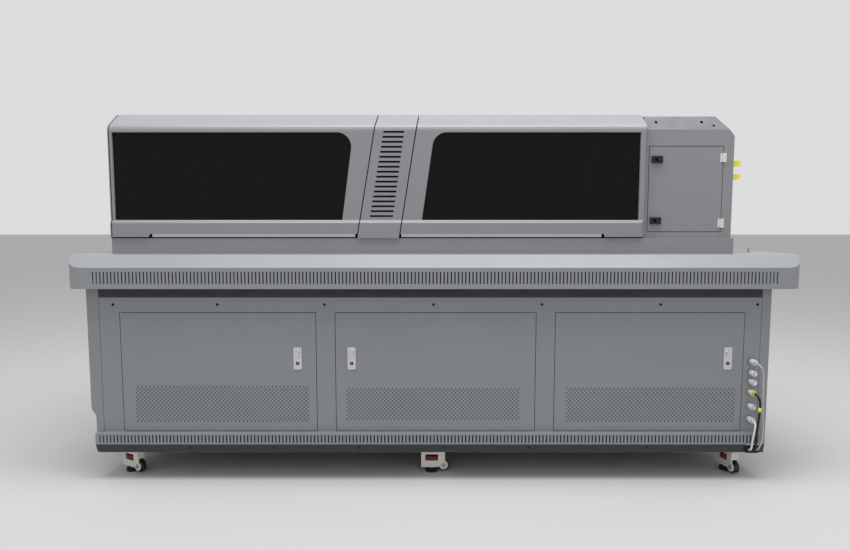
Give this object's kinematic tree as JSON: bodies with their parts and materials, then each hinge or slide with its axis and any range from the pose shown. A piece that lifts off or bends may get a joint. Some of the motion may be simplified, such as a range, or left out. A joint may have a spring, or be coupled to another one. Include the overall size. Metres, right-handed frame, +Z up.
{
  "type": "flatbed uv printer",
  "caption": "Enclosed flatbed UV printer on a vented steel cabinet with hinged doors, lifting tinted covers, an inner print gantry and levelling casters.",
  "frame": {"origin": "on the floor under the centre of the deck", "axes": "+X to the right along the machine's length as seen from the front, +Y to the rear, +Z up; the doors face -Y"},
  "size_m": [2.914, 1.1275, 1.506],
  "materials": {
    "cabinet_paint": "satin mid grey powder coat",
    "fascia_paint": "satin dark grey powder coat",
    "deck_paint": "satin light grey powder coat",
    "hood_paint": "satin grey powder coat, a little bluish",
    "frame_paint": "matte dark grey powder coat",
    "tinted_window": "gloss, nearly black smoke tint",
    "bed_aluminium": "fine ground and anodised",
    "rail_steel": "ground steel on dark painted bases",
    "beam_paint": "satin grey paint with ground tracks",
    "carriage_shell": "smooth off-white moulding",
    "head_black": "matte black housings on a grey plate",
    "capping_black": "matte black",
    "capping_metal": "satin grey paint",
    "tank_white": "translucent white moulding with black caps",
    "control_paint": "satin grey paint",
    "blower_metal": "painted casting",
    "connector_metal": "nickel plated",
    "hook_yellow": "gloss yellow",
    "screw_black": "black oxide",
    "grey_sheath": "smooth grey sheath",
    "black_sheath": "matte black sheath",
    "white_sheath": "smooth white sheath",
    "lock_button": "polished",
    "lock_cam": "zinc plated, dark barrel",
    "service_paint": "satin grey powder coat with black latch housings",
    "bolt_black": "matte black",
    "caster_ivory": "ivory moulding",
    "wheel_black": "black nylon",
    "foot_mixed": "black rubber pad, plated screw, dark red thumbwheel"
  },
  "bodies": {
    "machine": {"base_frame": "frame_paint", "front_panel": "cabinet_paint", "outer_panels": "cabinet_paint", "plinth_vents": "cabinet_paint", "top_fascia": "fascia_paint", "deck_skirt": "deck_paint", "hood_base": "hood_paint", "hood_shell": "hood_paint", "centre_pillar": "hood_paint", "end_box": "hood_paint", "vacuum_bed": "bed_aluminium", "y_rails": "rail_steel", "capping_base": "capping_metal", "ink_tanks": "tank_white", "control_unit": "control_paint", "vacuum_blower": "blower_metal", "cable_sockets": "connector_metal", "lead_hook": "hook_yellow", "panel_screws": "screw_black", "grey_lead": "grey_sheath", "black_lead": "black_sheath", "white_lead": "white_sheath"},
    "left_door": {"left_door": "cabinet_paint"},
    "left_lock_button": {"left_lock_button": "lock_button"},
    "left_lock_cam": {"left_lock_cam": "lock_cam"},
    "middle_door": {"middle_door": "cabinet_paint"},
    "middle_lock_button": {"middle_lock_button": "lock_button"},
    "middle_lock_cam": {"middle_lock_cam": "lock_cam"},
    "right_door": {"right_door": "cabinet_paint"},
    "right_lock_button": {"right_lock_button": "lock_button"},
    "right_lock_cam": {"right_lock_cam": "lock_cam"},
    "left_cover": {"left_cover": "hood_paint", "left_window": "tinted_window"},
    "right_cover": {"right_cover": "hood_paint", "right_window": "tinted_window"},
    "service_door": {"service_door": "service_paint"},
    "upper_bolt": {"upper_bolt": "bolt_black"},
    "lower_bolt": {"lower_bolt": "bolt_black"},
    "gantry": {"gantry_beam": "beam_paint"},
    "carriage": {"carriage": "carriage_shell"},
    "head_unit": {"head_unit": "head_black"},
    "cap_tray": {"cap_tray": "capping_black"},
    "front_left_caster": {"front_left_caster": "caster_ivory"},
    "front_left_wheel": {"front_left_wheel": "wheel_black"},
    "front_left_foot": {"front_left_foot": "foot_mixed"},
    "front_middle_caster": {"front_middle_caster": "caster_ivory"},
    "front_middle_wheel": {"front_middle_wheel": "wheel_black"},
    "front_middle_foot": {"front_middle_foot": "foot_mixed"},
    "front_right_caster": {"front_right_caster": "caster_ivory"},
    "front_right_wheel": {"front_right_wheel": "wheel_black"},
    "front_right_foot": {"front_right_foot": "foot_mixed"},
    "rear_left_caster": {"rear_left_caster": "caster_ivory"},
    "rear_left_wheel": {"rear_left_wheel": "wheel_black"},
    "rear_left_foot": {"rear_left_foot": "foot_mixed"},
    "rear_middle_caster": {"rear_middle_caster": "caster_ivory"},
    "rear_middle_wheel": {"rear_middle_wheel": "wheel_black"},
    "rear_middle_foot": {"rear_middle_foot": "foot_mixed"},
    "rear_right_caster": {"rear_right_caster": "caster_ivory"},
    "rear_right_wheel": {"rear_right_wheel": "wheel_black"},
    "rear_right_foot": {"rear_right_foot": "foot_mixed"}
  },
  "joints": [
    {"name": "left_door_hinge", "type": "hinge", "parent": "machine", "child": "left_door", "pos_m": [-1.257, -0.501, 0.4415], "axis": [0, 0, -1], "range_deg": [0, 110]},
    {"name": "left_lock_button_push", "type": "slide", "parent": "left_door", "child": "left_lock_button", "axis": [0, 1, 0], "range_m": [0, 0.003], "stiffness_N_per_m": 600, "springref_m": -0.002},
    {"name": "left_lock_cam_turn", "type": "hinge", "parent": "left_door", "child": "left_lock_cam", "pos_m": [-0.551, -0.5, 0.479], "axis": [0, -1, 0], "range_deg": [0, 90]},
    {"name": "middle_door_hinge", "type": "hinge", "parent": "machine", "child": "middle_door", "pos_m": [0.404, -0.501, 0.4415], "axis": [0, 0, 1], "range_deg": [0, 90]},
    {"name": "middle_lock_button_push", "type": "slide", "parent": "middle_door", "child": "middle_lock_button", "axis": [0, 1, 0], "range_m": [0, 0.003], "stiffness_N_per_m": 600, "springref_m": -0.002},
    {"name": "middle_lock_cam_turn", "type": "hinge", "parent": "middle_door", "child": "middle_lock_cam", "pos_m": [-0.333, -0.5, 0.479], "axis": [0, 1, 0], "range_deg": [0, 90]},
    {"name": "right_door_hinge", "type": "hinge", "parent": "machine", "child": "right_door", "pos_m": [0.492, -0.501, 0.4415], "axis": [0, 0, -1], "range_deg": [0, 90]},
    {"name": "right_lock_button_push", "type": "slide", "parent": "right_door", "child": "right_lock_button", "axis": [0, 1, 0], "range_m": [0, 0.003], "stiffness_N_per_m": 600, "springref_m": -0.002},
    {"name": "right_lock_cam_turn", "type": "hinge", "parent": "right_door", "child": "right_lock_cam", "pos_m": [1.185, -0.5, 0.479], "axis": [0, -1, 0], "range_deg": [0, 90]},
    {"name": "left_cover_hinge", "type": "hinge", "parent": "machine", "child": "left_cover", "pos_m": [0, -0.1, 1.5], "axis": [-1, 0, 0], "range_deg": [0, 75]},
    {"name": "right_cover_hinge", "type": "hinge", "parent": "machine", "child": "right_cover", "pos_m": [0, -0.1, 1.5], "axis": [-1, 0, 0], "range_deg": [0, 75]},
    {"name": "service_door_hinge", "type": "hinge", "parent": "machine", "child": "service_door", "pos_m": [1.1835, -0.405, 1.181], "axis": [0, 0, 1], "range_deg": [0, 110]},
    {"name": "upper_bolt_slide", "type": "slide", "parent": "service_door", "child": "upper_bolt", "axis": [-1, 0, 0], "range_m": [0, 0.012]},
    {"name": "lower_bolt_slide", "type": "slide", "parent": "service_door", "child": "lower_bolt", "axis": [-1, 0, 0], "range_m": [0, 0.012]},
    {"name": "gantry_travel", "type": "slide", "parent": "machine", "child": "gantry", "axis": [0, -1, 0], "range_m": [0, 0.44]},
    {"name": "carriage_travel", "type": "slide", "parent": "gantry", "child": "carriage", "axis": [-1, 0, 0], "range_m": [0, 1.95]},
    {"name": "head_lift", "type": "slide", "parent": "carriage", "child": "head_unit", "axis": [0, 0, 1], "range_m": [0, 0.08]},
    {"name": "cap_tray_lift", "type": "slide", "parent": "machine", "child": "cap_tray", "axis": [0, 0, 1], "range_m": [0, 0.008]},
    {"name": "front_left_caster_swivel", "type": "hinge", "parent": "machine", "child": "front_left_caster", "pos_m": [-1.262, -0.425, 0.06], "axis": [0, 0, 1], "continuous": true},
    {"name": "front_left_wheel_spin", "type": "hinge", "parent": "front_left_caster", "child": "front_left_wheel", "pos_m": [-1.23082, -0.443, 0.029], "axis": [0.5, 0.866, 0], "continuous": true},
    {"name": "front_left_foot_level", "type": "slide", "parent": "front_left_caster", "child": "front_left_foot", "axis": [0, 0, 1], "range_m": [-0.004, 0.0045]},
    {"name": "front_middle_caster_swivel", "type": "hinge", "parent": "machine", "child": "front_middle_caster", "pos_m": [0.005, -0.425, 0.06], "axis": [0, 0, 1], "continuous": true},
    {"name": "front_middle_wheel_spin", "type": "hinge", "parent": "front_middle_caster", "child": "front_middle_wheel", "pos_m": [0.041, -0.425, 0.029], "axis": [0, 1, 0], "continuous": true},
    {"name": "front_middle_foot_level", "type": "slide", "parent": "front_middle_caster", "child": "front_middle_foot", "axis": [0, 0, 1], "range_m": [-0.004, 0.0045]},
    {"name": "front_right_caster_swivel", "type": "hinge", "parent": "machine", "child": "front_right_caster", "pos_m": [1.245, -0.425, 0.06], "axis": [0, 0, 1], "continuous": true},
    {"name": "front_right_wheel_spin", "type": "hinge", "parent": "front_right_caster", "child": "front_right_wheel", "pos_m": [1.25125, -0.46045, 0.029], "axis": [0.9848, 0.1736, 0], "continuous": true},
    {"name": "front_right_foot_level", "type": "slide", "parent": "front_right_caster", "child": "front_right_foot", "axis": [0, 0, 1], "range_m": [-0.004, 0.0045]},
    {"name": "rear_left_caster_swivel", "type": "hinge", "parent": "machine", "child": "rear_left_caster", "pos_m": [-1.262, 0.425, 0.06], "axis": [0, 0, 1], "continuous": true},
    {"name": "rear_left_wheel_spin", "type": "hinge", "parent": "rear_left_caster", "child": "rear_left_wheel", "pos_m": [-1.28514, 0.45258, 0.029], "axis": [-0.766, -0.6428, 0], "continuous": true},
    {"name": "rear_left_foot_level", "type": "slide", "parent": "rear_left_caster", "child": "rear_left_foot", "axis": [0, 0, 1], "range_m": [-0.004, 0.0045]},
    {"name": "rear_middle_caster_swivel", "type": "hinge", "parent": "machine", "child": "rear_middle_caster", "pos_m": [0.005, 0.425, 0.06], "axis": [0, 0, 1], "continuous": true},
    {"name": "rear_middle_wheel_spin", "type": "hinge", "parent": "rear_middle_caster", "child": "rear_middle_wheel", "pos_m": [-0.031, 0.425, 0.029], "axis": [0, -1, 0], "continuous": true},
    {"name": "rear_middle_foot_level", "type": "slide", "parent": "rear_middle_caster", "child": "rear_middle_foot", "axis": [0, 0, 1], "range_m": [-0.004, 0.0045]},
    {"name": "rear_right_caster_swivel", "type": "hinge", "parent": "machine", "child": "rear_right_caster", "pos_m": [1.245, 0.425, 0.06], "axis": [0, 0, 1], "continuous": true},
    {"name": "rear_right_wheel_spin", "type": "hinge", "parent": "rear_right_caster", "child": "rear_right_wheel", "pos_m": [1.263, 0.45618, 0.029], "axis": [-0.866, 0.5, 0], "continuous": true},
    {"name": "rear_right_foot_level", "type": "slide", "parent": "rear_right_caster", "child": "rear_right_foot", "axis": [0, 0, 1], "range_m": [-0.004, 0.0045]}
  ]
}
